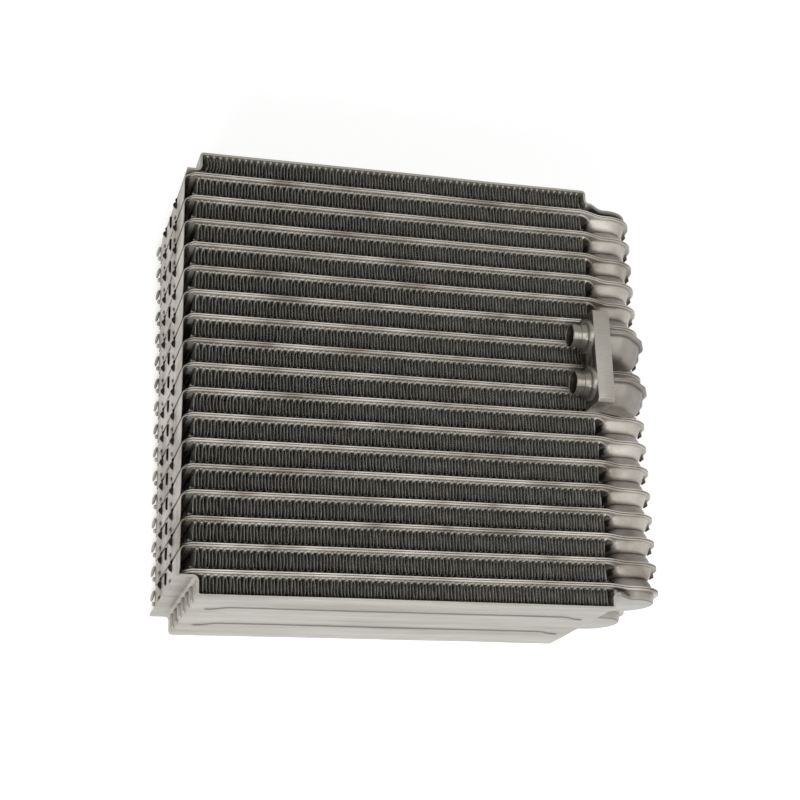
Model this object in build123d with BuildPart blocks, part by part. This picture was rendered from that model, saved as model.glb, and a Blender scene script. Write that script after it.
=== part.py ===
from build123d import *
import math
import os

# Evaporator core that lies on its rear air face: X runs along the flat tubes from the folded
# tabs to the tank, Y is the stacking direction and Z is the air direction, with the front up.

# Stack
tube_count = 17
tube_pitch = 12.8
core_depth = 89.0

# Pressed tube plates
plate_sheet = 0.6
tube_height = 3.6
lip_width = 2.5
plate_corner = 4.0
tube_end_reach = 2.9

# Tank lobes at the end of each plate
tank_lead = 16.0
shoulder_length = 11.0
lobe_radius = 17.0
lobe_spacing = 45.0
lobe_flats = 4
cup_start = 4.0
cup_draft = 17.0

# Folded tabs that close the far end
tab_lean = 1.2
tab_clearance = 0.3
tab_slot_height = 7.0
tab_slot_width = 2.6

# Corrugated fins
fin_length = 211.5
fin_sheet = 0.3
fold_pitch = 10.5
fin_setback = 0.8

# End plates
end_sheet = 1.2
wall_inset = 3.5
lip_reach = 3.1
cap_depth = 5.4
cap_draft = 9.0
bead_height = 0.6
bead_width = 12.0
bead_offset = 18.0
bead_end_gap = 6.0
rib_count = 6
rib_proud = 0.8
rib_width = 3.6
rib_spacing = 12.0

# Connector block with its two spigots, and the ducts behind it
block_width = 9.0
block_height = 50.0
block_depth = 18.0
block_chamfer = 1.5
block_clearance = 0.3
block_overlap = 7.7
bolt_hole_radius = 3.0
spigot_radius = 6.25
spigot_bore_radius = 4.6
spigot_length = 9.8
collar_radius = 9.0
collar_thickness = 2.0
duct_lip = 1.5
duct_half_height = 12.0
duct_draft = 17.0
duct_nose = 2.5
duct_nose_width = 12.4
duct_tip_setback = 4.6
port_tubes = {"outlet": 9, "inlet": 11}

# Derived places along the tubes
fin_height = tube_pitch - tube_height
half_tube = tube_height / 2
half_depth = core_depth / 2
overall_length = lip_reach + tube_end_reach + fin_length + tank_lead + lobe_radius
lip_end_x = -overall_length / 2
tube_end_x = lip_end_x + lip_reach
fin_start_x = tube_end_x + tube_end_reach
fin_end_x = fin_start_x + fin_length
cup_start_x = fin_end_x + cup_start
lobe_x = fin_end_x + tank_lead
wall_x = fin_start_x + wall_inset
lobe_offset = lobe_spacing / 2
cup_radius = lobe_radius - lip_width
tank_front = lobe_offset + lobe_radius
top_tube_y = (tube_count - 1) / 2 * tube_pitch

# Sketch plane of a tube's joint face, with its second axis along Z from the middle of the depth
joint_plane = Plane(origin=(0, 0, half_depth), x_dir=(1, 0, 0), z_dir=(0, -1, 0))
middle_plane = Plane.XY.offset(half_depth)


def tube_level(number):
    """Height in the stack of a tube's joint face, counted from 1 at the bottom."""
    return (number - 1) * tube_pitch - top_tube_y


def both_sides(edge):
    """Close an outline that is the same in front of and behind the middle of the depth."""
    return edge + [(x, -z) for x, z in reversed(edge)]


def round_end(radius):
    """Corners of a lobe's half-round end, drawn with flats because the core holds so many."""
    turns = [math.radians(90 - 180 * step / lobe_flats) for step in range(lobe_flats + 1)]
    return [(lobe_x + radius * math.cos(a), lobe_offset + radius * math.sin(a)) for a in turns]


def lobed_outline(start_x, corner, radius):
    """Plan of a plate: square body, shoulder down to the tank and two round lobes."""
    edge = [(start_x, half_depth - corner)]
    if corner:
        edge.append((start_x + corner, half_depth))
    edge += [(fin_end_x, half_depth), (fin_end_x + shoulder_length, lobe_offset + radius)]
    return both_sides(edge + round_end(radius))


def cup_outline(start_x):
    """D-shaped plan of the front tank cup, square towards the fins and round outwards."""
    near = [(start_x, lobe_offset - cup_radius), (start_x, lobe_offset + cup_radius)]
    return near + round_end(cup_radius)


def drawn_form(outline, height, angle):
    """Solid form that stands on the flange and narrows by a draft angle as it deepens."""
    root_plane = joint_plane.offset(plate_sheet)
    with BuildPart() as form:
        with BuildSketch(root_plane):
            Polygon(*outline, align=None)
        extrude(amount=height - plate_sheet)
        walls = form.faces().filter_by(Axis.Y, reverse=True)
        draft(walls, neutral_plane=root_plane, angle=angle)
    return form.part


os.makedirs("parts", exist_ok=True)


# Tube plate without tank cups: flange, raised flow channel and its hollow
channel_start_x = fin_start_x + lip_width / 2
channel_end_x = cup_start_x + plate_sheet
channel_edge = [(channel_start_x, half_depth - lip_width), (fin_end_x, half_depth - lip_width)]
channel_edge.append((channel_end_x, lobe_offset + cup_radius - plate_sheet))

with BuildPart() as flat_plate:
    with BuildSketch(joint_plane):
        Polygon(*lobed_outline(tube_end_x, plate_corner, lobe_radius), align=None)
    extrude(amount=plate_sheet)
    with BuildSketch(joint_plane):
        Polygon(*both_sides(channel_edge), align=None)
    extrude(amount=half_tube)
    with BuildSketch(joint_plane):
        with Locations(((channel_start_x + fin_end_x) / 2, 0)):
            Rectangle(fin_end_x - channel_start_x - 2 * plate_sheet,
                      core_depth - 2 * lip_width - 2 * plate_sheet)
    extrude(amount=half_tube - plate_sheet, mode=Mode.SUBTRACT)

# Tube plate with its two drawn cups, which meet the next tube's cups halfway
front_cup = drawn_form(cup_outline(cup_start_x), tube_pitch / 2, cup_draft)

with BuildPart() as cupped_plate:
    add(flat_plate.part)
    add(front_cup)
    mirror(front_cup, about=middle_plane)

# The same plate with the folded tab that hangs over the next tube's end
tab_width = core_depth - 2 * plate_corner
tab_bottom = -(tube_pitch - plate_sheet - tab_clearance)
tab_corners = [
    (tube_end_x, -plate_sheet),
    (tube_end_x + plate_sheet, -plate_sheet),
    (tube_end_x + plate_sheet - tab_lean, tab_bottom),
    (tube_end_x - tab_lean, tab_bottom),
]

with BuildPart() as tabbed_plate:
    add(cupped_plate.part)
    with BuildSketch(Plane.XY.offset(half_depth)):
        Polygon(*tab_corners, align=None)
    extrude(amount=tab_width / 2, both=True)
    with BuildSketch(Plane.YZ.offset(tube_end_x)):
        with Locations((-tube_pitch / 2, half_depth)):
            Rectangle(tab_slot_height, tab_slot_width)
    extrude(amount=tab_lean + plate_sheet, both=True, mode=Mode.SUBTRACT)

with BuildPart() as upper_cupped_plate:
    mirror(cupped_plate.part, about=Plane.XZ)

with BuildPart() as upper_flat_plate:
    mirror(flat_plate.part, about=Plane.XZ)

for number in range(1, tube_count + 1):
    lower_shape = flat_plate.part if number == 1 else tabbed_plate.part
    upper_shape = upper_flat_plate.part if number == tube_count else upper_cupped_plate.part
    with BuildPart() as lower_plate:
        with Locations((0, tube_level(number), 0)):
            add(lower_shape)
    lower_plate.part.label = f"tube_{number:02d}_lower_plate"
    export_step(lower_plate.part, f"parts/tube_{number:02d}_lower_plate.step")

    with BuildPart() as upper_plate:
        with Locations((0, tube_level(number), 0)):
            add(upper_shape)
    upper_plate.part.label = f"tube_{number:02d}_upper_plate"
    export_step(upper_plate.part, f"parts/tube_{number:02d}_upper_plate.step")


# Corrugated fins, one in each gap and one outside each end tube
def fold_line(start_x, legs, leg_pitch, low_y, high_y):
    """Corners of one side of a zigzag strip, from left to right."""
    return [(start_x + leg * leg_pitch, (low_y, high_y)[leg % 2]) for leg in range(legs + 1)]


def fin_outline(start_x, low_y):
    """Side view of a corrugated strip that stands between two flat faces."""
    legs = round((fin_end_x - start_x) / fold_pitch)
    leg_pitch = (fin_end_x - start_x) / legs
    rise = fin_sheet * math.hypot(leg_pitch, fin_height) / leg_pitch
    under_side = fold_line(start_x, legs, leg_pitch, low_y, low_y + fin_height - rise)
    over_side = fold_line(start_x, legs, leg_pitch, low_y + rise, low_y + fin_height)
    return under_side + over_side[::-1]


for number in range(1, tube_count + 2):
    outermost = number in (1, tube_count + 1)
    strip_start_x = wall_x + end_sheet + fin_sheet if outermost else fin_start_x
    strip_bottom = tube_level(number) - half_tube - fin_height
    with BuildPart() as fin:
        with BuildSketch(Plane.XY.offset(fin_setback)):
            Polygon(*fin_outline(strip_start_x, strip_bottom), align=None)
        extrude(amount=core_depth - 2 * fin_setback)
    fin.part.label = f"fin_{number:02d}"
    export_step(fin.part, f"parts/fin_{number:02d}.step")


# End plates: lip, wall, flat cover, step and the lobed cap that closes the tank
def end_plate_section(lip_x):
    """Side view of the folded end plate, below the joint face of its tube."""
    cover_top = -half_tube - fin_height
    cap_bottom = -cap_depth
    step_x = fin_end_x + end_sheet
    far_x = lobe_x + lobe_radius
    return [
        (lip_x, -half_tube),
        (wall_x + end_sheet, -half_tube),
        (wall_x + end_sheet, cover_top),
        (fin_end_x, cover_top),
        (fin_end_x, cap_bottom + end_sheet),
        (far_x, cap_bottom + end_sheet),
        (far_x, cap_bottom),
        (step_x, cap_bottom),
        (step_x, cover_top - end_sheet),
        (wall_x, cover_top - end_sheet),
        (wall_x, -half_tube - end_sheet),
        (lip_x, -half_tube - end_sheet),
    ]


def bead_outline(side):
    """Long shallow bead of the cover, pointed at both ends."""
    start_x = wall_x + end_sheet + bead_end_gap
    end_x = fin_end_x - bead_end_gap
    middle = side * bead_offset
    half_width = bead_width / 2
    return [
        (start_x, middle),
        (start_x + bead_width, middle + half_width),
        (end_x - bead_width, middle + half_width),
        (end_x, middle),
        (end_x - bead_width, middle - half_width),
        (start_x + bead_width, middle - half_width),
    ]


cover_face = half_tube + fin_height + end_sheet
front_cap = drawn_form(cup_outline(channel_end_x), cap_depth, cap_draft)
cap_radius = cup_radius - (cap_depth - plate_sheet) * math.tan(math.radians(cap_draft))
rib_height = fin_height - 2 * end_sheet


def end_plate(lip_x):
    """Bottom end plate in its place under a tube whose joint face is at height zero."""
    with BuildPart() as plate:
        with BuildSketch(Plane.XY):
            Polygon(*end_plate_section(lip_x), align=None)
        extrude(amount=core_depth)
        with BuildSketch(joint_plane):
            Polygon(*lobed_outline(lip_x, 0, cap_radius), align=None)
        extrude(amount=cover_face, mode=Mode.INTERSECT)
        add(front_cap)
        mirror(front_cap, about=middle_plane)
        for side in (1, -1):
            with BuildSketch(joint_plane.offset(cover_face)):
                Polygon(*bead_outline(side), align=None)
            extrude(amount=bead_height)
    return plate.part


with BuildPart() as bottom_end_plate:
    with Locations((0, tube_level(1), 0)):
        add(end_plate(lip_end_x))
    with BuildSketch(Plane.YZ.offset(wall_x)):
        with Locations((tube_level(1) - half_tube - (fin_height + end_sheet) / 2, half_depth)):
            with GridLocations(0, rib_spacing, 1, rib_count):
                Rectangle(rib_height, rib_width)
    extrude(amount=-rib_proud)
bottom_end_plate.part.label = "bottom_end_plate"
export_step(bottom_end_plate.part, "parts/bottom_end_plate.step")

with BuildPart() as upturned_end_plate:
    mirror(end_plate(tube_end_x), about=Plane.XZ)

with BuildPart() as top_end_plate:
    with Locations((0, tube_level(tube_count), 0)):
        add(upturned_end_plate.part)
top_end_plate.part.label = "top_end_plate"
export_step(top_end_plate.part, "parts/top_end_plate.step")


# Machined connector block: spigots towards the pipes, bores through to the ducts
block_left_x = fin_end_x - block_overlap
block_right_x = block_left_x + block_width
block_back = core_depth + block_clearance
block_front = block_back + block_depth
port_z = block_back + block_depth / 2
port_levels = {name: tube_level(number) for name, number in port_tubes.items()}
block_middle_y = sum(port_levels.values()) / len(port_levels)

with BuildPart() as connector_block:
    with BuildSketch(Plane.YZ.offset(block_left_x)):
        with Locations((block_middle_y, port_z)):
            Rectangle(block_height, block_depth)
    extrude(amount=block_width)
    front_ends = connector_block.edges().filter_by(Axis.X).group_by(Axis.Z)[-1]
    chamfer(front_ends, block_chamfer)
    for radius, reach in ((collar_radius, collar_thickness), (spigot_radius, spigot_length)):
        with BuildSketch(Plane.YZ.offset(block_left_x)):
            with Locations(*[(level, port_z) for level in port_levels.values()]):
                Circle(radius)
        extrude(amount=-reach)
    with BuildSketch(Plane.YZ.offset(block_right_x)):
        with Locations(*[(level, port_z) for level in port_levels.values()]):
            Circle(spigot_bore_radius)
        with Locations((block_middle_y, port_z)):
            Circle(bolt_hole_radius)
    extrude(amount=-block_width - spigot_length, mode=Mode.SUBTRACT)
connector_block.part.label = "connector_block"
export_step(connector_block.part, "parts/connector_block.step")


# Ducts: a flanged pair of pressed shells from each bore to the front of the tank
def duct_outline(inset):
    """Plan of a duct: square to the block, seated on the tank's flanges and slanting outside."""
    tip_x = lobe_x + lobe_radius - duct_tip_setback - inset
    nose_x = block_right_x + duct_nose_width - inset
    flange_fall = (tip_x - lobe_x) * math.tan(math.radians(90 / lobe_flats))
    return [
        (block_right_x, block_back - half_depth),
        (block_right_x, block_front - half_depth - inset),
        (nose_x, block_front - half_depth + duct_nose - inset),
        (tip_x, tank_front + duct_nose),
        (tip_x, tank_front - flange_fall),
        (lobe_x, tank_front),
        (fin_end_x + shoulder_length, tank_front),
    ]


outward = Axis((0, 0, 0), (1, 0, 1))

with BuildPart() as lower_shell:
    with BuildSketch(joint_plane):
        Polygon(*duct_outline(duct_lip), align=None)
    extrude(amount=duct_half_height)
    side_walls = lower_shell.faces().filter_by(Axis.Y, reverse=True)
    draft(side_walls.sort_by(outward)[-3:], neutral_plane=joint_plane, angle=duct_draft)

with BuildPart() as duct_shells:
    with BuildSketch(joint_plane):
        Polygon(*duct_outline(0), align=None)
    extrude(amount=plate_sheet, both=True)
    add(lower_shell.part)
    mirror(lower_shell.part, about=Plane.XZ)

for name, level in port_levels.items():
    with BuildPart() as duct:
        with Locations((0, level, 0)):
            add(duct_shells.part)
    duct.part.label = f"{name}_duct"
    export_step(duct.part, f"parts/{name}_duct.step")
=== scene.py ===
"""Looks of a stacked-plate evaporator core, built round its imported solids.

Lengths in the classes are millimetres in the core's own frame: X runs along the tubes from the
folded tabs to the tank, Y up the stack and Z out of the front air face.
"""

import logging
import math
import random
from collections.abc import Callable, Iterable, Sequence
from dataclasses import dataclass, field
from enum import Enum

import bmesh
import bpy
from mathutils import Matrix, Vector, noise


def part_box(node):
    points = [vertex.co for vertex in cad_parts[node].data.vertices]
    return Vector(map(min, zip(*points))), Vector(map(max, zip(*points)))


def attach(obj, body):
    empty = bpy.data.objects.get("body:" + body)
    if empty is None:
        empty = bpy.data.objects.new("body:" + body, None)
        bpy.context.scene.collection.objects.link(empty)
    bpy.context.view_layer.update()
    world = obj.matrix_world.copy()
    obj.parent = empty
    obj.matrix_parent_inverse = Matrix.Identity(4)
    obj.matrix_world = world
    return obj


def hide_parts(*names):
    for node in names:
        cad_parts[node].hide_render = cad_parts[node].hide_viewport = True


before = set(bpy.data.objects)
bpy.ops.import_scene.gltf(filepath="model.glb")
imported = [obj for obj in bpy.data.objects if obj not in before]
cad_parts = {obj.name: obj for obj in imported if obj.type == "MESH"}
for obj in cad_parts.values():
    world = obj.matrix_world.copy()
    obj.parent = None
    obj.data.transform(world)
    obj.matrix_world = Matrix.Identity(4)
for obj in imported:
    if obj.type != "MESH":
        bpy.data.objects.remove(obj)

LOG = logging.getLogger("evaporator_core")
MILLIMETRE = 0.001
ROOT = "root"
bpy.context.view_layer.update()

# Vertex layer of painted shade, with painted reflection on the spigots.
PAINTED_SHADE = "painted_shade"
# Vertex layer of uncoated metal with painted highlight, on the fins.
BARE_METAL_AND_HIGHLIGHT = "bare_metal_and_highlight"
NOISE_SPAN = (0.3, 0.7)
WHITE = (1.0, 1.0, 1.0, 1.0)

Point = tuple[float, float]
Triple = tuple[float, float, float]
Outline = list[Point]
Steps = Sequence[Point]
BMesh = bmesh.types.BMesh
Verts = list[bmesh.types.BMVert]
Material = bpy.types.Material
Socket = bpy.types.NodeSocket


class Slot(Enum):
    """Material slots of the core's finishes."""

    TUBE_PLATE = "tube_plate"
    FIN = "fin"
    END_PLATE = "end_plate"
    BLOCK = "block"
    DUCT = "duct"


def packed_box(node: str) -> tuple[Vector, Vector]:
    """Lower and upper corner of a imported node, in millimetres."""
    low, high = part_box(node)
    return low / MILLIMETRE, high / MILLIMETRE


@dataclass(frozen=True)
class CoreSizes:
    """Places that all sub-assemblies share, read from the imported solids."""

    depth: float
    pitch: float
    levels: tuple[float, ...]
    left: float
    right: float
    fin_start: float
    fin_end: float
    half_tube: float

    @classmethod
    def from_frame(cls) -> "CoreSizes":
        """Read the shared places off the boxes of a few nodes.

        Returns:
            The sizes in millimetres.
        """
        uppers = sorted(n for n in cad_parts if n.endswith("_upper_plate"))
        levels = tuple(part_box(name)[0].y / MILLIMETRE for name in uppers)
        plate_low, plate_high = packed_box(uppers[1])
        fin_low, fin_high = packed_box("fin_02")
        return cls(
            depth=plate_high.z,
            pitch=levels[1] - levels[0],
            levels=levels,
            left=plate_low.x,
            right=plate_high.x,
            fin_start=fin_low.x,
            fin_end=fin_high.x,
            half_tube=fin_low.y - levels[0],
        )

    @property
    def middle(self) -> float:
        """Height of the middle of the depth."""
        return self.depth / 2

    def mirror(self, verts: Verts) -> None:
        """Mirror vertices through the middle of the depth."""
        for vert in verts:
            vert.co.z = self.depth - vert.co.z


def arc(centre: Point, radius: float, start: float, end: float, steps: int) -> Outline:
    """Points along an arc between two angles in degrees, both ends included."""
    turns = [math.radians(start + (end - start) * k / steps) for k in range(steps + 1)]
    return [(centre[0] + radius * math.cos(a), centre[1] + radius * math.sin(a)) for a in turns]


def straight(start: Point, end: Point, spacing: float = 8.0) -> Outline:
    """Points inside a straight run, both ends left out, so that the run can bend a little.

    Args:
        start: First end.
        end: Last end.
        spacing: Largest distance between points.

    Returns:
        The inner points in order.
    """
    parts = max(1, round(math.dist(start, end) / spacing))
    run, climb = end[0] - start[0], end[1] - start[1]
    return [(start[0] + run * k / parts, start[1] + climb * k / parts) for k in range(1, parts)]


def ease(start: Point, end: Point, steps: int) -> Outline:
    """Points of an S-curve that leaves and arrives parallel to the first axis.

    Args:
        start: First end.
        end: Last end.
        steps: Number of chords.

    Returns:
        The points, both ends included.
    """
    run, climb = end[0] - start[0], end[1] - start[1]
    shares = [k / steps for k in range(steps + 1)]
    return [
        (start[0] + run * s, start[1] + climb * (1 - math.cos(math.pi * s)) / 2) for s in shares
    ]


def mirrored(half: Outline, middle: float) -> Outline:
    """Close an outline that is the same on both sides of a middle height."""
    return half + [(x, 2 * middle - z) for x, z in reversed(half)]


def fillet_path(corners: Outline, radius: float, steps: int = 5) -> Outline:
    """Round the inner corners of an open path.

    Args:
        corners: Corner points of the path.
        radius: Radius of each bend.
        steps: Chords of each bend.

    Returns:
        The path with its corners rounded.
    """
    path = [corners[0]]
    for before, corner, after in zip(corners, corners[1:], corners[2:]):
        here = Vector(corner)
        back = (Vector(before) - here).normalized()
        ahead = (Vector(after) - here).normalized()
        half_angle = math.acos(max(-1.0, min(1.0, back.dot(ahead)))) / 2
        reach = radius / math.tan(half_angle)
        start, end = here + back * reach, here + ahead * reach
        for k in range(steps + 1):
            s = k / steps
            point = start * (1 - s) ** 2 + here * 2 * s * (1 - s) + end * s**2
            path.append((point.x, point.y))
    path.append(corners[-1])
    return path


def new_mesh(bm: BMesh, name: str) -> bpy.types.Mesh:
    """Turn a mesh that is being shaped into a finished one.

    Args:
        bm: Mesh that is read and freed.
        name: Name of the new mesh.

    Returns:
        The new mesh.
    """
    mesh = bpy.data.meshes.new(name)
    bm.to_mesh(mesh)
    bm.free()
    return mesh


def add_object(name: str, data: bpy.types.ID) -> bpy.types.Object:
    """Add an object that shows a mesh, lamp or camera to the scene."""
    made = bpy.data.objects.new(name, data)
    bpy.context.scene.collection.objects.link(made)
    return made


class Metalwork:
    """Ways of shaping sheet and bar that the sub-assemblies share."""

    WAVE_HEIGHT = 0.22
    WAVE_LENGTH = Vector((46.0, 90.0, 38.0))

    @staticmethod
    def flat(bm: BMesh, outline: Outline, height: float) -> bmesh.types.BMFace:
        """Add a flat face that looks up the stack.

        Args:
            bm: Mesh that gets the face.
            outline: Plan of the face, as (x, z).
            height: Height of the face up the stack.

        Returns:
            The new face.
        """
        face = bm.faces.new([bm.verts.new((x, height, z)) for x, z in outline])
        face.normal_update()
        if face.normal.y < 0:
            face.normal_flip()
        return face

    @classmethod
    def press(
        cls, bm: BMesh, outline: Outline, base: float, rise: float, over: Steps, under: Steps = ()
    ) -> Verts:
        """Add a closed form that rises from a plan, such as a flange or a drawn cup.

        Args:
            bm: Mesh that gets the form.
            outline: Plan at the widest section, as (x, z).
            base: Height of the lower edge of the widest section.
            rise: Height of the straight rim.
            over: Steps of (inset, rise) above the rim.
            under: Steps of (inset, fall) below the rim.

        Returns:
            The vertices of the form.
        """
        work = bmesh.new()
        bottom = cls.flat(work, outline, base)
        grown = bmesh.ops.extrude_face_region(work, geom=[bottom], use_keep_orig=True)["geom"]
        risen = [g for g in grown if isinstance(g, bmesh.types.BMVert)]
        top = next(g for g in grown if isinstance(g, bmesh.types.BMFace))
        bmesh.ops.translate(work, verts=risen, vec=(0, rise, 0))
        bottom.normal_flip()
        for face, steps in ((top, over), (bottom, under)):
            for inset, reach in steps:
                face.normal_update()
                bmesh.ops.inset_region(
                    work, faces=[face], thickness=inset, depth=reach,
                    use_even_offset=True, use_boundary=True,
                )
        return cls.join(bm, work)

    @classmethod
    def loft(cls, bm: BMesh, outline: Callable[[float], Outline], steps: Steps) -> Verts:
        """Add a closed form through plans that grow narrower with the height.

        Args:
            bm: Mesh that gets the form.
            outline: Gives the plan for an inset, always with the same number of points.
            steps: Inset and height of each plan.

        Returns:
            The vertices of the form.
        """
        rings = [[Vector((x, height, z)) for x, z in outline(inset)] for inset, height in steps]
        work = bmesh.new()
        before: list[bmesh.types.BMEdge] = []
        for ring in rings:
            verts = [work.verts.new(p) for p in ring]
            edges = [work.edges.new(pair) for pair in zip(verts, verts[1:] + verts[:1])]
            if before:
                bmesh.ops.bridge_loops(work, edges=before + edges)
            if ring in (rings[0], rings[-1]):
                work.faces.new(verts)
            before = edges
        bmesh.ops.recalc_face_normals(work, faces=work.faces[:])
        return cls.join(bm, work)

    @staticmethod
    def bent_sheet(
        bm: BMesh, path: list[Vector], sweep: Vector, cuts: int, thickness: float, outer: Vector
    ) -> None:
        """Add a bent sheet: a path of bends swept sideways and given its thickness.

        Args:
            bm: Mesh that gets the sheet.
            path: Section of the sheet's outer face.
            sweep: Direction and width of the sheet.
            cuts: Number of strips across the width.
            thickness: Thickness, laid behind the outer face.
            outer: Way that the outer face looks at the start of the path.
        """
        work = bmesh.new()
        verts = [work.verts.new(p) for p in path]
        edges = [work.edges.new(pair) for pair in zip(verts, verts[1:])]
        for _ in range(cuts):
            grown = bmesh.ops.extrude_edge_only(work, edges=edges)["geom"]
            edges = [g for g in grown if isinstance(g, bmesh.types.BMEdge)]
            moved = [g for g in grown if isinstance(g, bmesh.types.BMVert)]
            bmesh.ops.translate(work, verts=moved, vec=sweep / cuts)
        bmesh.ops.recalc_face_normals(work, faces=work.faces[:])
        start = next(f for f in verts[0].link_faces)
        if start.normal.dot(outer) < 0:
            bmesh.ops.reverse_faces(work, faces=work.faces[:])
        work.normal_update()
        bmesh.ops.solidify(work, geom=work.faces[:], thickness=thickness)
        bmesh.ops.recalc_face_normals(work, faces=work.faces[:])
        Metalwork.join(bm, work)

    @staticmethod
    def join(bm: BMesh, work: BMesh) -> Verts:
        """Add one mesh to another and free it.

        Args:
            bm: Mesh that grows.
            work: Mesh that is added.

        Returns:
            The added vertices.
        """
        first = len(bm.verts)
        carrier = new_mesh(work, "carrier")
        bm.from_mesh(carrier)
        bpy.data.meshes.remove(carrier)
        bm.verts.ensure_lookup_table()
        return bm.verts[first:]

    @staticmethod
    def stand(bm: BMesh, level: float, side: int) -> None:
        """Move a form that rises from height zero to its level, turned over for side -1.

        Args:
            bm: Mesh of the form.
            level: Height that the form starts from.
            side: 1 for a form that rises up the stack, -1 for one that hangs down.
        """
        bmesh.ops.scale(bm, verts=bm.verts, vec=(1, side, 1))
        bmesh.ops.translate(bm, verts=bm.verts, vec=(0, level, 0))
        if side < 0:
            bmesh.ops.reverse_faces(bm, faces=bm.faces)

    @classmethod
    def settle(cls, bm: BMesh) -> None:
        """Give the stack the slight unevenness of a brazed core, the same for all pieces."""
        for vert in bm.verts:
            place = Vector(vert.co[k] / cls.WAVE_LENGTH[k] for k in range(3))
            vert.co.y += cls.WAVE_HEIGHT * noise.noise(place)

    @classmethod
    def publish(
        cls,
        bm: BMesh,
        name: str,
        slot: Slot,
        finish: Material,
        nodes: Iterable[str] = (),
        sharp: float = 40.0,
        shade: Callable[[Vector], float] | None = None,
    ) -> bpy.types.Object:
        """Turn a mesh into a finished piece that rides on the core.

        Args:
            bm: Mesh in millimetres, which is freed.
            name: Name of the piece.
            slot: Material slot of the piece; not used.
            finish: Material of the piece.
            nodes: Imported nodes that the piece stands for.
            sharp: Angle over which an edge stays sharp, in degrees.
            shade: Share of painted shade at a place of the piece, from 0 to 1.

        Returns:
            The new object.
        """
        # Paint shade into the vertices, keeping the largest share asked for.
        if shade:
            layers = bm.verts.layers.float
            painted_shade = layers.get(PAINTED_SHADE) or layers.new(PAINTED_SHADE)
            for vert in bm.verts:
                vert[painted_shade] = max(vert[painted_shade], shade(vert.co))
        cls.settle(bm)
        bmesh.ops.scale(bm, verts=bm.verts, vec=(MILLIMETRE,) * 3)
        mesh = new_mesh(bm, name)
        mesh.shade_smooth()
        mesh.set_sharp_from_angle(angle=math.radians(sharp))
        mesh.materials.append(finish)
        piece = add_object(name, mesh)
        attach(piece, ROOT)
        if nodes:
            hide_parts(*nodes)
        LOG.info("%s: %d faces", name, len(mesh.polygons))
        return piece


class NodeTree:
    """Short way to write the nodes of a material or of the world."""

    def __init__(self, owner: Material | bpy.types.World) -> None:
        """Start from the owner's own shader.

        Args:
            owner: Material or world that gets the nodes.
        """
        owner.use_nodes = True
        self.owner = owner
        self.tree = owner.node_tree
        self.shader = self.tree.nodes.get("Principled BSDF") or self.tree.nodes["Background"]

    def add(self, kind: str, **settings: object) -> bpy.types.Node:
        """Add a node and set its properties.

        Args:
            kind: Node type, without its ShaderNode prefix.
            **settings: Properties of the node.

        Returns:
            The node.
        """
        node = self.tree.nodes.new("ShaderNode" + kind)
        for key, value in settings.items():
            setattr(node, key, value)
        return node

    def link(self, source: Socket, target: Socket) -> None:
        """Join an output to an input."""
        self.tree.links.new(source, target)

    def noise(self, stretch: Triple, scale: float, detail: float) -> Socket:
        """Noise on object coordinates, stretched along an axis.

        Args:
            stretch: Scale of each axis.
            scale: Scale of the noise, in features per metre.
            detail: Octaves of the noise.

        Returns:
            The noise node's factor output.
        """
        mapping = self.add("Mapping")
        mapping.inputs["Scale"].default_value = stretch
        self.link(self.add("TexCoord").outputs["Object"], mapping.inputs["Vector"])
        texture = self.add("TexNoise")
        texture.inputs["Scale"].default_value = scale
        texture.inputs["Detail"].default_value = detail
        self.link(mapping.outputs["Vector"], texture.inputs["Vector"])
        return texture.outputs["Fac"]

    def ramp(self, factor: Socket, stops: list[tuple[float, Triple]]) -> Socket:
        """Map a factor to colours.

        Args:
            factor: Input of the ramp.
            stops: Positions and colours.

        Returns:
            The ramp's colour output.
        """
        node = self.add("ValToRGB")
        while len(node.color_ramp.elements) < len(stops):
            node.color_ramp.elements.new(0.5)
        for element, (position, colour) in zip(node.color_ramp.elements, stops):
            element.position = position
            element.color = (*colour, 1.0)
        self.link(factor, node.inputs["Fac"])
        return node.outputs["Color"]

    def span(
        self, factor: Socket, low: float, high: float, start: float = 0.0, end: float = 1.0
    ) -> Socket:
        """Map a factor to a range of values.

        Args:
            factor: Factor that is mapped.
            low: Value at the start of the factor.
            high: Value at its end.
            start: Factor that gives the low value.
            end: Factor that gives the high value.

        Returns:
            The mapped value.
        """
        node = self.add("MapRange")
        names = ("From Min", "From Max", "To Min", "To Max")
        for name, value in zip(names, (start, end, low, high)):
            node.inputs[name].default_value = value
        self.link(factor, node.inputs["Value"])
        return node.outputs["Result"]

    def paint(self, under: Socket, attribute: str, colour: Triple) -> Socket:
        """Lay a colour over another one, by an attribute of the vertices.

        Args:
            under: Colour below.
            attribute: Attribute that holds the share of the new colour.
            colour: The new colour.

        Returns:
            The mixed colour.
        """
        mix = self.add("Mix", data_type="RGBA")
        share = self.add("Attribute", attribute_name=attribute)
        self.link(share.outputs["Fac"], mix.inputs["Factor"])
        self.link(under, mix.inputs["A"])
        mix.inputs["B"].default_value = (*colour, 1.0)
        return mix.outputs["Result"]

    def seen(self, *kinds: str) -> Socket:
        """Find out how the surface is seen.

        Args:
            *kinds: Kinds of rays.

        Returns:
            1 for a ray of one of these kinds, else 0.
        """
        rays = self.add("LightPath")
        found = rays.outputs[f"Is {kinds[0]} Ray"]
        for kind in kinds[1:]:
            either = self.add("Math", operation="MAXIMUM")
            self.link(found, either.inputs[0])
            self.link(rays.outputs[f"Is {kind} Ray"], either.inputs[1])
            found = either.outputs["Value"]
        return found


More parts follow.
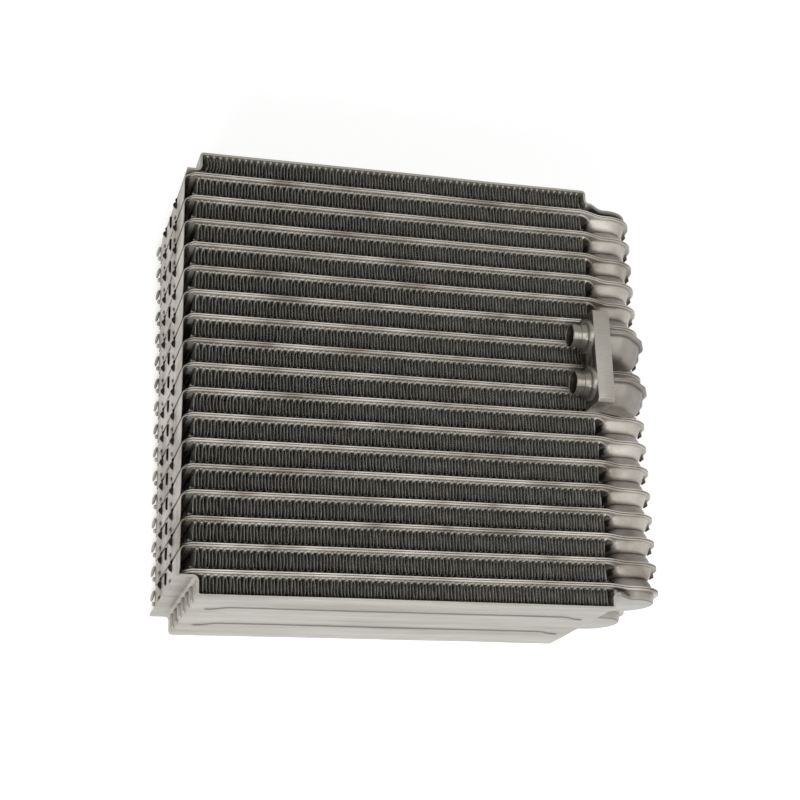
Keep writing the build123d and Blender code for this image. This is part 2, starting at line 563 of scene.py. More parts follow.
@dataclass(frozen=True)
class BrazedSheet:
    """Pressed aluminium with the mottled bloom that brazing leaves."""

    name: str
    pale: Triple
    dull: Triple
    stain: Triple
    metallic: float = 0.45
    specular: float = 0.5
    # Specular level where shade is painted.
    painted_shade_specular: float = 0.05
    rough_low: float = 0.40
    rough_high: float = 0.58
    # Colour of painted shade.
    shade_paint: Triple = (0.035, 0.028, 0.022)
    grain: Triple = (1.0, 1.0, 1.0)
    grain_depth: float = 0.00006
    grain_strength: float = 0.35
    grain_scale: float = 900.0
    grain_detail: float = 5.0
    cloud_stretch: Triple = (1.0, 1.0, 1.0)
    cloud_scale: float = 45.0
    cloud_detail: float = 6.0
    cloud_stops: Triple = (0.34, 0.46, 0.66)

    def material(self) -> Material:
        """Make the material.

        Returns:
            The material.
        """
        nodes = NodeTree(bpy.data.materials.new(self.name))
        target = nodes.shader.inputs
        cloud = nodes.noise(self.cloud_stretch, self.cloud_scale, self.cloud_detail)
        colours = (self.stain, self.dull, self.pale)
        bloom = nodes.ramp(cloud, list(zip(self.cloud_stops, colours)))
        # Painted shade: a dark colour laid over the bloom by each vertex's share.
        nodes.link(nodes.paint(bloom, PAINTED_SHADE, self.shade_paint), target["Base Color"])
        grain = nodes.noise(self.grain, self.grain_scale, self.grain_detail)
        roughness = nodes.span(grain, self.rough_low, self.rough_high, *NOISE_SPAN)
        nodes.link(roughness, target["Roughness"])
        bump = nodes.add("Bump")
        bump.inputs["Strength"].default_value = self.grain_strength
        bump.inputs["Distance"].default_value = self.grain_depth
        nodes.link(grain, bump.inputs["Height"])
        nodes.link(bump.outputs["Normal"], target["Normal"])
        # Where shade is painted, the sheet turns non-metallic and loses its specular, so that it
        # stays dark.
        painted_shade = nodes.add("Attribute", attribute_name=PAINTED_SHADE).outputs["Fac"]
        nodes.link(nodes.span(painted_shade, self.metallic, 0.0), target["Metallic"])
        gloss = nodes.span(painted_shade, self.specular, self.painted_shade_specular)
        nodes.link(gloss, target["Specular IOR Level"])
        return nodes.owner


@dataclass(frozen=True)
class CoatedFin:
    """Thin dark fin sheet with painted highlight and uncoated metal on raw edges, brazed crests and
    ends.
    """

    name: str = "fin_sheet"
    dark: Triple = (0.20, 0.193, 0.168)
    grey: Triple = (0.34, 0.33, 0.29)
    # Colour of uncoated metal and painted highlight.
    bright: Triple = (0.66, 0.64, 0.58)
    # Colour of painted shade.
    shade_paint: Triple = (0.012, 0.011, 0.009)
    cloud_scale: float = 260.0
    cloud_detail: float = 3.0
    cloud_stops: Point = (0.35, 0.65)
    rough_low: float = 0.42
    rough_high: float = 0.58
    metallic: float = 0.35

    def material(self) -> Material:
        """Make the material.

        Returns:
            The material.
        """
        nodes = NodeTree(bpy.data.materials.new(self.name))
        target = nodes.shader.inputs
        cloud = nodes.noise((1.0, 1.0, 1.0), self.cloud_scale, self.cloud_detail)
        body = nodes.ramp(cloud, list(zip(self.cloud_stops, (self.dark, self.grey))))
        # Uncoated metal with painted highlight, then painted shade, over the coated body.
        worn_and_highlit = nodes.paint(body, BARE_METAL_AND_HIGHLIGHT, self.bright)
        nodes.link(nodes.paint(worn_and_highlit, PAINTED_SHADE, self.shade_paint), target["Base Color"])
        roughness = nodes.span(cloud, self.rough_low, self.rough_high, *NOISE_SPAN)
        nodes.link(roughness, target["Roughness"])
        target["Metallic"].default_value = self.metallic
        return nodes.owner


@dataclass
class FinStrip:
    """Corrugated strip between two tubes, with louvred legs at both air faces."""

    number: int
    left: float
    right: float
    low: float
    high: float
    back: float
    front: float
    crushed: float = 0.0
    flare: float = 1.7
    flare_floor: float = 0.4
    leg_pitch: float = 1.62
    crest_half: float = 0.70
    crest_drop: float = 0.60
    crest_shape: Steps = ((-1.0, 1.0), (-0.75, 0.3), (0.0, 0.0), (0.75, 0.3), (1.0, 1.0))
    leg_stops: tuple[float, ...] = (0, 0.3, 0.7, 1)
    sheet: float = 0.13
    edge_band: float = 1.1
    louvre_count: int = 3
    louvre_pitch: float = 1.6
    louvre_tilt: float = 0.24
    jitter: float = 0.13
    bow: float = 0.55
    bow_length: float = 15.0
    bow_phase: float = 3.7
    crushed_length: float = 9.0
    raggedness: float = 1.6
    foot_height: float = 1.6
    # Shares of uncoated metal with painted highlight on crests, raw edges and ends, and of painted
    # shade deep in the ends and near the lower folds.
    crest_bare_and_highlight: float = 0.4
    edge_bare_and_highlight: float = 0.08
    end_bare_and_highlight: float = 0.9
    deep_painted_shade: float = 0.95
    foot_painted_shade: float = 0.75

    def __post_init__(self) -> None:
        """Draw the strip's own unevenness."""
        self.draw = random.Random(self.number)
        first = self.left + self.crest_half + self.draw.uniform(0, self.raggedness)
        last = self.right - self.crest_half - self.draw.uniform(0, self.raggedness)
        legs = round((last - first) / self.leg_pitch)
        step = (last - first) / legs
        self.crests = [
            first + k * step + self.draw.uniform(-self.jitter, self.jitter) for k in range(legs + 1)
        ]

    def crest_line(self, k: int) -> list[Vector]:
        """Section of a fold.

        Args:
            k: Number of the fold, even ones at the bottom.

        Returns:
            Points of the fold from left to right.
        """
        edge, inward = (self.low, 1) if k % 2 == 0 else (self.high, -1)
        return [
            Vector((self.crests[k] + s * self.crest_half, edge + inward * (d * self.crest_drop), 0))
            for s, d in self.crest_shape
        ]

    def leg_line(self, k: int) -> list[Vector]:
        """Section of the leg that follows a fold, bowed much as its neighbours are.

        Args:
            k: Number of the fold that the leg follows.

        Returns:
            Points of the leg from this fold to the next one.
        """
        start, end = self.crest_line(k)[-1], self.crest_line(k + 1)[0]
        along = self.crests[k] - self.left
        wave = noise.noise(Vector((along / self.bow_length, self.number * self.bow_phase, 0)))
        bow = self.bow * wave + self.crushed * math.exp(-along / self.crushed_length)
        bow += self.draw.uniform(-self.jitter, self.jitter)
        return [
            start.lerp(end, s) + Vector((bow * math.sin(math.pi * s), 0, 0)) for s in self.leg_stops
        ]

    def sweep(
        self,
        bm: BMesh,
        lines: list[list[Vector]],
        start: float,
        end: float,
        tilt: float = 0.0,
        nod: float = 0.0,
    ) -> None:
        """Sweep section lines through the depth.

        Args:
            bm: Mesh that gets the strips.
            lines: Section lines.
            start: Depth at which the strips start.
            end: Depth at which they end.
            tilt: Sideways shift on the way, for a louvre.
            nod: Largest random sideways shift at the end, for a bent edge.
        """
        edges = []
        for line in lines:
            verts = [bm.verts.new((p.x - tilt / 2, p.y, start)) for p in line]
            edges += [bm.edges.new(pair) for pair in zip(verts, verts[1:])]
        grown = bmesh.ops.extrude_edge_only(bm, edges=edges)["geom"]
        moved = [g for g in grown if isinstance(g, bmesh.types.BMVert)]
        bmesh.ops.translate(bm, verts=moved, vec=(tilt, 0, end - start))
        if nod:
            for vert in moved:
                vert.co.x += self.draw.uniform(-nod, nod)
                vert.co.z += self.draw.uniform(-nod, 0) * (1 if end > start else -1)

    def build(self) -> BMesh:
        """Shape the strip.

        Returns:
            The mesh, with the shares of uncoated metal with painted highlight, and of painted
            shade, on each vertex.
        """
        bm = bmesh.new()
        legs = [self.leg_line(k) for k in range(len(self.crests) - 1)]
        bank = self.louvre_count * self.louvre_pitch
        near_back, near_front = self.back + self.edge_band, self.front - self.edge_band
        self.sweep(bm, [self.crest_line(k) for k in range(len(self.crests))], self.back, self.front)
        self.sweep(bm, legs, near_back + bank, near_front - bank)
        self.sweep(bm, legs, near_back, self.back, nod=self.jitter)
        self.sweep(bm, legs, near_front, self.front, nod=self.jitter)
        for k in range(self.louvre_count):
            low = near_back + k * self.louvre_pitch
            high = near_front - (k + 1) * self.louvre_pitch
            self.sweep(bm, legs, low, low + self.louvre_pitch, tilt=self.louvre_tilt)
            self.sweep(bm, legs, high, high + self.louvre_pitch, tilt=-self.louvre_tilt)
        self.weather(bm)
        return bm

    def weather(self, bm: BMesh) -> None:
        """Mark uncoated metal with painted highlight, and painted shade, on each vertex, and turn
        the strip's front left end out.

        Args:
            bm: Mesh of the strip.
        """
        bare_and_highlight = bm.verts.layers.float.new(BARE_METAL_AND_HIGHLIGHT)
        painted_shade = bm.verts.layers.float.new(PAINTED_SHADE)
        first, last = self.crests[0], self.crests[-1]
        for vert in bm.verts:
            x, y, z = vert.co
            to_crest = min(y - self.low, self.high - y)
            to_face = min(z - self.back, self.front - z)
            # Uncoated metal and painted highlight on the crests, raw edges and ends.
            crest = self.crest_bare_and_highlight * max(0.0, 1.0 - 2 * to_crest / self.crest_drop)
            edge = self.edge_bare_and_highlight if to_face < self.edge_band / 2 else 0.0
            outside = x < first + self.crest_half or x > last - self.crest_half
            vert[bare_and_highlight] = max(crest, edge, self.end_bare_and_highlight if outside else 0.0)
            # Painted shade deep inside the ends.
            deep = outside and to_face > self.edge_band + self.louvre_pitch
            if x < first + self.crest_half / 2 and self.front - z < self.edge_band / 2:
                share = 2.0 * to_crest / (self.high - self.low) + self.flare_floor
                vert.co.x -= self.flare * min(1.0, share)
            # Painted shade, darker towards the lower folds.
            foot = max(0.0, 1.0 - (y - self.low) / self.foot_height)
            vert[painted_shade] = self.deep_painted_shade if deep else self.foot_painted_shade * foot

    def dress(self, finish: Material) -> None:
        """Publish the strip with its sheet thickness.

        Args:
            finish: Material of the strip.
        """
        node = f"fin_{self.number:02d}"
        piece = Metalwork.publish(
            self.build(), f"{node}_folds", Slot.FIN, finish, [node], sharp=50.0
        )
        shell = piece.modifiers.new("sheet", "SOLIDIFY")
        shell.thickness = self.sheet * MILLIMETRE
        shell.offset = 0.0


@dataclass(frozen=True)
class Lug:
    """Small rolled lug at the rear end of a tab."""

    radii: Triple
    out: float
    share_down: float
    rear: float
    turn: float


@dataclass
class TubePlates:
    """The pressed plates of the flat tubes, with tank cups and folded tabs."""

    sizes: CoreSizes
    sheet: float = 0.6
    lip: float = 2.5
    lobe_radius: float = 17.0
    lobe_spacing: float = 45.0
    corner: float = 4.0
    end_flat: float = 18.0
    shoulder: float = 3.0
    cup_start: float = 4.0
    cup_corner: float = 4.5
    cup_profile: tuple[Point, ...] = (
        (-1.0, 0.35), (-0.35, 0.75), (0.1, 1.3), (0.5, 2.2), (0.9, 3.3),
        (1.25, 4.4), (1.75, 5.3), (2.4, 5.95), (3.3, 6.3), (4.2, 6.4),
    )
    rim_rise: float = 0.62
    rim_gap: float = 0.08
    rim_edge: float = 0.1
    rim_over: Steps = ((0.16, 0.13), (0.3, 0.03), (0.7, -0.12), (0.5, -0.05))
    channel_end: float = 8.0
    channel_foot: float = 1.45
    tab_reach: float = 11.9
    tab_lap: float = 1.9
    tab_lean: float = 1.4
    tab_proud: float = 1.2
    tab_front: float = 2.2
    tab_bend: float = 3.2
    tab_sheet: float = 0.45
    tab_root: float = 5.0
    tab_row: float = 0.9
    tab_round: float = 1.6
    round_share: float = 0.45
    slot_half: float = 1.2
    slot_rows: Point = (2.9, 9.9)
    slot_flare: float = 1.0
    ear_offset: float = 18.0
    ear_length: float = 10.5
    ear_bulge: float = 2.0
    ear_rows: Point = (3.2, 7.6)
    slit_half: float = 0.35
    hole_half: float = 1.3
    hole_rows: Point = (0.9, 2.9)
    hook_radius: float = 1.5
    hook_width: float = 3.6
    hook_setback: float = 6.5
    lugs: tuple[Lug, ...] = (
        Lug((0.9, 3.1, 2.4), 0.9, 0.5, 3.4, 14.0),
        Lug((0.9, 1.3, 1.2), 0.4, 0.86, 4.0, 0.0),
    )
    clinch_line: Steps = ((0, -0.5), (0.55, 0.0), (0.6, 2.6))
    clinch_inset: float = 0.9
    clinch_width: float = 4.6
    clinch_shift: float = 2.0
    clinch_sheet: float = 0.5
    # Shares of painted shade, and the bands where it is painted.
    tab_painted_shade: float = 0.08
    cup_painted_shade: float = 0.36
    deep_painted_shade: float = 0.9
    clip_band: float = 1.2
    channel_run: float = 1.5
    fold_end: float = 3.0
    fold_rows: Point = (0.75, 2.5)
    unshaded_front: float = 2.0
    cup_crown: float = 6.2
    same_place: float = 0.01

    @property
    def lobe_centre(self) -> Point:
        """Centre of the front lobe, in plan."""
        return (self.sizes.right - self.lobe_radius, self.sizes.middle + self.lobe_spacing / 2)

    @property
    def cup_radius(self) -> float:
        """Radius of a cup at the flange."""
        return self.lobe_radius - self.lip

    def flange_outline(self) -> Outline:
        """Plan of a plate: chamfered end, body, shoulder and two round lobes.

        Returns:
            The outline.
        """
        s = self.sizes
        centre_x, centre_z = self.lobe_centre
        notch = self.lobe_spacing / 2 - self.lobe_radius
        body_left = (s.left + self.corner, s.depth)
        shoulder_start = (s.fin_end - self.shoulder, s.depth)
        shoulder_end = (centre_x - 2.5, centre_z + self.lobe_radius)
        half = [(s.left, s.middle + self.end_flat), (s.left, s.depth - self.corner - 1.5)]
        half += [(s.left + 0.5, s.depth - self.corner), (body_left[0] - 0.8, s.depth - 0.6)]
        half += [body_left] + straight(body_left, shoulder_start)
        half += ease(shoulder_start, shoulder_end, 9)
        half += arc(self.lobe_centre, self.lobe_radius, 86, -90, 26)
        half += arc((centre_x, s.middle), notch, 90, 180, 6)[1:-1]
        return mirrored(half, s.middle)

    def cup_outline(self, inset: float) -> Outline:
        """D-shaped plan of the front cup.

        Args:
            inset: Distance inside the cup's outline at the flange.

        Returns:
            The outline.
        """
        centre_x, centre_z = self.lobe_centre
        radius, corner = self.cup_radius - inset, self.cup_corner
        near = self.sizes.fin_end + self.cup_start + inset + corner
        outline = arc((near, centre_z + radius - corner), corner, 180, 90, 5)
        outline += arc((centre_x, centre_z), radius, 90, -90, 26)
        return outline + arc((near, centre_z - radius + corner), corner, 270, 180, 5)

    def channel_outline(self) -> Outline:
        """Plan of the raised flow channel, which runs on into the cups.

        Returns:
            The outline.
        """
        s = self.sizes
        start = s.fin_start + self.lip / 2
        front, inner = s.depth - self.lip, s.middle + self.channel_end
        run_end = (s.fin_end - 1.0, front)
        tank_end = (s.fin_end + self.cup_start + 6.0, self.lobe_centre[1] + self.cup_radius - 2.2)
        half = [(start, inner), (start, front - 1.0), (start + 1.0, front)]
        half += straight((start + 1.0, front), run_end) + ease(run_end, tank_end, 6)
        return mirrored(half + [(tank_end[0], inner)], s.middle)

    def shell(self, cupped: bool) -> BMesh:
        """Flange, channel and, where wanted, cups of a plate that rises from height zero.

        Args:
            cupped: Whether the plate has its two tank cups.

        Returns:
            The mesh.
        """
        bm = bmesh.new()
        Metalwork.press(
            bm, self.flange_outline(), self.rim_gap + self.rim_edge, self.rim_rise,
            over=self.rim_over, under=((self.rim_edge, 0.08), (0.75, self.rim_gap)),
        )
        rise = self.sizes.half_tube - self.sheet
        over = ((0.2, 0.12), (0.25, 0.4 * rise), (0.25, 0.35 * rise), (0.35, 0.25 * rise - 0.12))
        Metalwork.press(bm, self.channel_outline(), self.sheet / 2, self.sheet / 2, over)
        if cupped:
            Metalwork.loft(bm, self.cup_outline, self.cup_profile)
            self.sizes.mirror(Metalwork.loft(bm, self.cup_outline, self.cup_profile))
        return bm

    def add_tab(self, bm: BMesh) -> None:
        """Add the folded tab that hangs over the next tube's end, with its ears and lugs.

        Args:
            bm: Mesh of the plate.
        """
        s = self.sizes
        drop = self.tab_reach + self.tab_lap
        corners = [
            (s.left + self.tab_root, self.sheet / 2),
            (s.left - self.tab_proud, self.sheet / 2),
            (s.left - self.tab_lean, drop),
        ]
        path = fillet_path(corners, self.tab_bend, 4)
        section = path[:-1] + straight(path[-2], path[-1], self.tab_row) + path[-1:]
        work = bmesh.new()
        verts = [[work.verts.new((x, y, z)) for x, y in section] for z in self.tab_stops()]
        for line, following in zip(verts, verts[1:]):
            for k in range(len(section) - 1):
                work.faces.new((line[k], line[k + 1], following[k + 1], following[k]))
        holes = [f for f in work.faces if self.in_hole(f.calc_center_median())]
        bmesh.ops.delete(work, geom=holes, context="FACES")
        self.shape_tab(work, drop)
        bmesh.ops.recalc_face_normals(work, faces=work.faces[:])
        if verts[0][0].link_faces[0].normal.y > 0:
            bmesh.ops.reverse_faces(work, faces=work.faces[:])
        # Painted shade on the tab's inner face.
        painted_shade = work.verts.layers.float.new(PAINTED_SHADE)
        grown = bmesh.ops.extrude_face_region(work, geom=work.faces[:], use_keep_orig=True)
        inner = [g for g in grown["geom"] if isinstance(g, bmesh.types.BMVert)]
        for vert in inner:
            vert[painted_shade] = self.deep_painted_shade
        bmesh.ops.translate(work, verts=inner, vec=(self.tab_sheet, self.tab_sheet, 0))
        bmesh.ops.recalc_face_normals(work, faces=work.faces[:])
        Metalwork.join(bm, work)
        for side in (-1, 1):
            self.add_hook(bm, s.middle + side * self.ear_offset - self.hook_setback)
        for lug in self.lugs:
            self.add_lug(bm, lug)

    def tab_stops(self) -> list[float]:
        """Depths of the tab's strips: its ends, the slot's sides, and the holes and ears.

        Returns:
            The depths from the rear to the front.
        """
        reach = self.sizes.middle - self.corner
        stops = [-reach, 1.2 - reach, 4.0 - reach, reach - 8.0, reach - 4.0, reach - 1.2]
        stops += [reach + self.tab_front]
        stops += [-self.slot_half - 4.0, -self.slot_half, self.slot_half]
        for ear in (-self.ear_offset, self.ear_offset):
            stops += [ear - share * self.ear_length for share in (1.0, 0.7, 0.4)]
            for half in (self.hole_half, self.slit_half):
                stops += [ear - half, ear + half]
        return [self.sizes.middle + stop for stop in sorted(stops)]

    def in_hole(self, place: Vector) -> bool:
        """Whether a point of the tab lies in its slot or its front hole.

        Args:
            place: Point on the tab.

        Returns:
            True inside an opening.
        """
        across, height = place.z - self.sizes.middle, place.y
        beside = abs(across - self.ear_offset)
        in_slot = abs(across) < self.slot_half and self.slot_rows[0] < height < self.slot_rows[1]
        at_hole = beside < self.hole_half and self.hole_rows[0] < height < self.hole_rows[1]
        return in_slot or at_hole

    def push_out(self, across: float, height: float) -> float:
        """How far the tab stands out along its slot and over its two ears.

        Args:
            across: Distance in front of the middle of the depth.
            height: Distance below the flange.

        Returns:
            The distance out of the tab's plane.
        """
        in_slot = self.slot_rows[0] < height < self.slot_rows[1]
        at_edge = abs(across + self.slot_half) < self.same_place
        out = self.slot_flare if in_slot and at_edge else 0.0
        low, high = self.ear_rows
        for ear in (-self.ear_offset, self.ear_offset):
            behind = (ear - across) / self.ear_length
            if 0 < behind < 1 and low < height < high:
                swell = math.sin(math.pi * (height - low) / (high - low))
                out = self.ear_bulge * (1 - behind) * swell
            beside_hole = abs(ear - self.hole_half - across) < self.same_place
            if beside_hole and self.hole_rows[0] < height < self.hole_rows[1]:
                out = self.slot_flare
        return out

    def shape_tab(self, work: BMesh, drop: float) -> None:
        """Round the tab's lower corners and press out its slot and ears.

        Args:
            work: Mesh of the tab.
            drop: Length of the tab.
        """
        reach = self.sizes.middle - self.corner
        for vert in work.verts:
            across = vert.co.z - self.sizes.middle
            low = max(0.0, vert.co.y / drop - (1 - self.round_share)) / self.round_share
            if abs(across) > reach - 1.0:
                vert.co.z -= math.copysign(self.tab_round * low**2, across)
            vert.co.x -= self.push_out(across, vert.co.y)

    def add_hook(self, bm: BMesh, z: float) -> None:
        """Add a small rolled ear at a tube's end.

        Args:
            bm: Mesh of the plate.
            z: Depth at which the ear starts.
        """
        centre = (self.sizes.left - 0.7 * self.tab_lean, self.tab_reach - 0.4)
        path = [Vector((x, y, z)) for x, y in arc(centre, self.hook_radius, -60, -300, 10)]
        width = Vector((0, 0, self.hook_width))
        Metalwork.bent_sheet(bm, path, width, 2, 0.8 * self.sheet, Vector((1, 0, 0)))

    def add_lug(self, bm: BMesh, lug: Lug) -> None:
        """Add a small rolled and flattened lug.

        Args:
            bm: Mesh of the plate.
            lug: Form and place of the lug.
        """
        place = (
            self.sizes.left - self.tab_lean - lug.out, lug.share_down * self.tab_reach, lug.rear
        )
        verts = bmesh.ops.create_uvsphere(bm, u_segments=12, v_segments=8, radius=1.0)["verts"]
        bmesh.ops.scale(bm, verts=verts, vec=lug.radii)
        turn = Matrix.Rotation(math.radians(lug.turn), 3, "Z")
        bmesh.ops.rotate(bm, verts=verts, matrix=turn)
        bmesh.ops.translate(bm, verts=verts, vec=place)

    def add_clinch(self, bm: BMesh) -> None:
        """Add the small ear that clips a plate to its mate, at the far side of each lobe.

        Args:
            bm: Mesh of the plate.
        """
        centre_x, centre_z = self.lobe_centre
        left = centre_x + self.lobe_radius - self.clinch_inset
        width = Vector((0, 0, self.clinch_width))
        for centre in (centre_z, self.sizes.depth - centre_z):
            z = centre - self.clinch_width / 2 - self.clinch_shift
            path = [Vector((left + x, y + self.sheet, z)) for x, y in self.clinch_line]
            Metalwork.bent_sheet(bm, path, width, 2, self.clinch_sheet, Vector((1, 0, 0)))

    def template(self, cupped: bool, tabbed: bool) -> bpy.types.Mesh:
        """One plate at height zero, rising up the stack.

        Args:
            cupped: Whether the plate has cups.
            tabbed: Whether it has the folded tab.

        Returns:
            The mesh, in millimetres.
        """
        bm = self.shell(cupped)
        bm.verts.layers.float.new(PAINTED_SHADE)
        if tabbed:
            self.add_clinch(bm)
            self.add_tab(bm)
        bmesh.ops.recalc_face_normals(bm, faces=bm.faces[:])
        return new_mesh(bm, "plate_template")

    def dress(self, finish: Material) -> None:
        """Publish a lower and an upper plate for each tube.

        Args:
            finish: Material of the plates.
        """
        flat, cupped = self.template(False, False), self.template(True, False)
        tabbed = self.template(True, True)
        count = len(self.sizes.levels)
        for number, level in enumerate(self.sizes.levels, start=1):
            lower = flat if number == 1 else tabbed
            upper = flat if number == count else cupped
            self.place(lower, f"tube_{number:02d}_lower_plate", level, -1, finish)
            self.place(upper, f"tube_{number:02d}_upper_plate", level, 1, finish)
        for mesh in (flat, cupped, tabbed):
            bpy.data.meshes.remove(mesh)

    def place(
        self, template: bpy.types.Mesh, node: str, level: float, side: int, finish: Material
    ) -> None:
        """Publish one plate.

        Args:
            template: Plate at height zero.
            node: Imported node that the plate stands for.
            level: Height of the tube's joint face.
            side: 1 for a plate above the joint face, -1 for one below.
            finish: Material of the plate.
        """
        bm = bmesh.new()
        bm.from_mesh(template)
        Metalwork.stand(bm, level, side)
        Metalwork.publish(
            bm, f"{node}_pressing", Slot.TUBE_PLATE, finish, [node],
            shade=lambda spot: self.shade(spot.x, side * (spot.y - level), spot.z, side),
        )

    def shade(self, x: float, height: float, z: float, side: int) -> float:
        """Painted shade of a plate: at its holes and ears, on its clips, channel, fold and cups.

        Args:
            x: Place along the tube.
            height: Distance from the tube's joint face.
            z: Place through the depth.
            side: 1 for a plate above the joint face, -1 for one below.

        Returns:
            The share of stain, from 0 to 1.
        """
        s = self.sizes
        # Painted shade on the tab: dark at its holes and beside its ears, faint elsewhere.
        if x < s.left:
            beside = abs(abs(z - s.middle) - self.ear_offset)
            at_slit = beside < 2 * self.slit_half and self.ear_rows[0] < height < self.ear_rows[1]
            at_hole = beside < self.hole_half and self.hole_rows[0] < height < self.hole_rows[1]
            return 1.0 if at_slit or at_hole else self.tab_painted_shade
        # Painted shade on the clips, where the channel runs into the cups, and along the fold.
        raised = height > self.channel_foot
        on_clip = height > self.clip_band and x > s.right - self.clip_band
        on_channel = raised and s.fin_start < x < s.fin_end + self.cup_start + self.channel_run
        by_fold = s.left + self.tab_bend < x < s.fin_start + self.fold_end
        by_fold &= z < s.depth - self.unshaded_front and self.fold_rows[0] < height < self.fold_rows[1]
        if on_clip or on_channel or by_fold:
            return self.deep_painted_shade
        # Painted shade on the upper plates' cups and round the crowns where cups meet.
        on_cup = raised and x >= s.fin_end and (side > 0 or height > self.cup_crown)
        return self.cup_painted_shade if on_cup else 0.0


@dataclass
class EndPlate:
    """Folded sheet that covers an end of the stack and closes its tank."""

    sizes: CoreSizes
    plates: TubePlates
    node: str
    level: float
    side: int
    lip_left: float
    cap_inset: float
    ribbed: bool
    sheet: float = 1.2
    bend: float = 2.2
    wall_inset: float = 3.5
    cap_depth: float = 5.4
    cap_rim: float = 2.7
    cap_painted_shade: float = 0.7
    step_rise: float = 0.4
    step_foot: float = 3.0
    cup_inset: float = 0.1
    cup_rise: float = 2.2
    cup_over: Steps = ((0.3, 1.6), (0.35, 0.6), (0.6, 0.35), (0.8, 0.25))
    bead_height: float = 0.6
    bead_width: float = 12.0
    bead_offset: float = 18.0
    bead_gap: float = 6.0
    bead_slope: Steps = (
        (0.0, -0.3), (0.0, 0.0), (0.25, 0.15), (0.6, 0.6), (0.95, 0.92), (1.4, 1.0),
    )
    bead_painted_shade: float = 0.5
    rib_count: int = 6
    rib_spacing: float = 12.0
    rib_radius: float = 1.7
    rib_flat: float = 0.8
    gap_length: float = 14.0
    gap_painted_shade: float = 0.92

    @property
    def wall(self) -> float:
        """Place of the outer face of the wall along the tubes."""
        return self.sizes.fin_start + self.wall_inset

    @property
    def cover(self) -> float:
        """Height of the cover's outer face above the joint face."""
        return self.sizes.pitch - self.sizes.half_tube + self.sheet

    def section(self) -> list[Vector]:
        """Outer face of the folded sheet, from the lip round the wall to the step at the tank.

        Returns:
            The points of the section.
        """
        lip_height = self.sizes.half_tube + self.sheet
        step = self.sizes.fin_end + self.sheet
        corners = [
            (self.lip_left, lip_height),
            (self.wall, lip_height),
            (self.wall, self.cover),
            (step, self.cover),
            (step, self.cap_depth - self.step_rise),
            (step + self.step_foot, self.cap_depth - self.step_rise),
        ]
        path = fillet_path(corners, self.bend, 5)
        full = []
        for start, end in zip(path, path[1:]):
            full += [start] + straight(start, end)
        return [Vector((x, y, 0)) for x, y in full + path[-1:]]

    def bead_outline(self, side: int, inset: float) -> Outline:
        """Plan of a long shallow bead with pointed ends.

        Args:
            side: 1 for the front bead, -1 for the rear one.
            inset: Distance inside the bead's foot.

        Returns:
            The outline.
        """
        middle = self.sizes.middle + side * self.bead_offset
        high = middle + self.bead_width / 2 - inset
        start = self.wall + self.sheet + self.bead_gap + 2 * inset
        end = self.sizes.fin_end - self.bead_gap - 2 * inset
        run = ((start + self.bead_width, high), (end - self.bead_width, high))
        upper = [(start, middle)] + ease((start + 1.0, middle + 0.3), run[0], 5) + straight(*run)
        upper += ease(run[1], (end - 1.0, middle + 0.3), 5) + [(end, middle)]
        return upper + [(x, 2 * middle - z) for x, z in reversed(upper[1:-1])]

    def cap_outline(self) -> Outline:
        """Plan of the sheet that joins the two caps to the step.

        Returns:
            The outline.
        """
        s, plates = self.sizes, self.plates
        centre_x, centre_z = plates.lobe_centre
        radius = plates.lobe_radius - self.cap_inset
        start = s.fin_end + self.sheet - self.step_rise
        half = [(start, s.middle + plates.channel_end), (start, s.depth - 0.2)]
        half += ease((start + 2.0, s.depth - 0.5), (centre_x - 2.0, centre_z + radius), 7)
        half += arc((centre_x, centre_z), radius, 88, -90, 22)
        half += [(centre_x - 3.0, centre_z - radius - 1.0), (centre_x - 6.0, s.middle + 3.0)]
        return mirrored(half, s.middle)

    def add_ribs(self, bm: BMesh) -> None:
        """Add the row of round-ended ribs on the wall.

        Args:
            bm: Mesh of the end plate.
        """
        low, high = self.sizes.half_tube + self.sheet + 1.2, self.cover + 0.2
        stretch = (high - low) / 2 - self.rib_radius
        upright = Matrix.Rotation(math.pi / 2, 3, "X")
        for k in range(self.rib_count):
            z = self.sizes.middle + (k - (self.rib_count - 1) / 2) * self.rib_spacing
            made = bmesh.ops.create_uvsphere(
                bm, u_segments=16, v_segments=12, radius=self.rib_radius
            )
            verts = made["verts"]
            bmesh.ops.rotate(bm, verts=verts, matrix=upright)
            for vert in verts:
                vert.co.y += math.copysign(stretch, vert.co.y) if abs(vert.co.y) > 1e-4 else 0.0
                vert.co.x *= self.rib_flat
            bmesh.ops.translate(bm, verts=verts, vec=(self.wall, (low + high) / 2, z))

    def build(self) -> BMesh:
        """Shape the end plate above height zero, rising away from the stack.

        Returns:
            The mesh.
        """
        bm = bmesh.new()
        deep = Vector((0, 0, self.sizes.depth))
        Metalwork.bent_sheet(bm, self.section(), deep, 11, self.sheet, Vector((0, 1, 0)))
        Metalwork.press(
            bm, self.cap_outline(), self.cap_depth - self.cap_rim, self.cap_rim - 0.4 * self.sheet,
            over=((0.15, 0.25 * self.sheet), (0.4, 0.15 * self.sheet)),
        )
        plan = self.plates.cup_outline(self.cup_inset)
        for mirror in (False, True):
            cup = Metalwork.press(bm, plan, self.plates.sheet, self.cup_rise, self.cup_over)
            if mirror:
                self.sizes.mirror(cup)
        slope = [(inset, self.cover + share * self.bead_height) for inset, share in self.bead_slope]
        for side in (1, -1):
            Metalwork.loft(bm, lambda inset: self.bead_outline(side, inset), slope)
        if self.ribbed:
            self.add_ribs(bm)
        bmesh.ops.recalc_face_normals(bm, faces=bm.faces[:])
        return bm

    def dress(self, finish: Material) -> None:
        """Publish the end plate in its place.

        Args:
            finish: Material of the plate.
        """
        bm = self.build()
        Metalwork.stand(bm, self.level, self.side)
        name = f"{self.node}_sheet"
        Metalwork.publish(bm, name, Slot.END_PLATE, finish, [self.node], shade=self.shade)

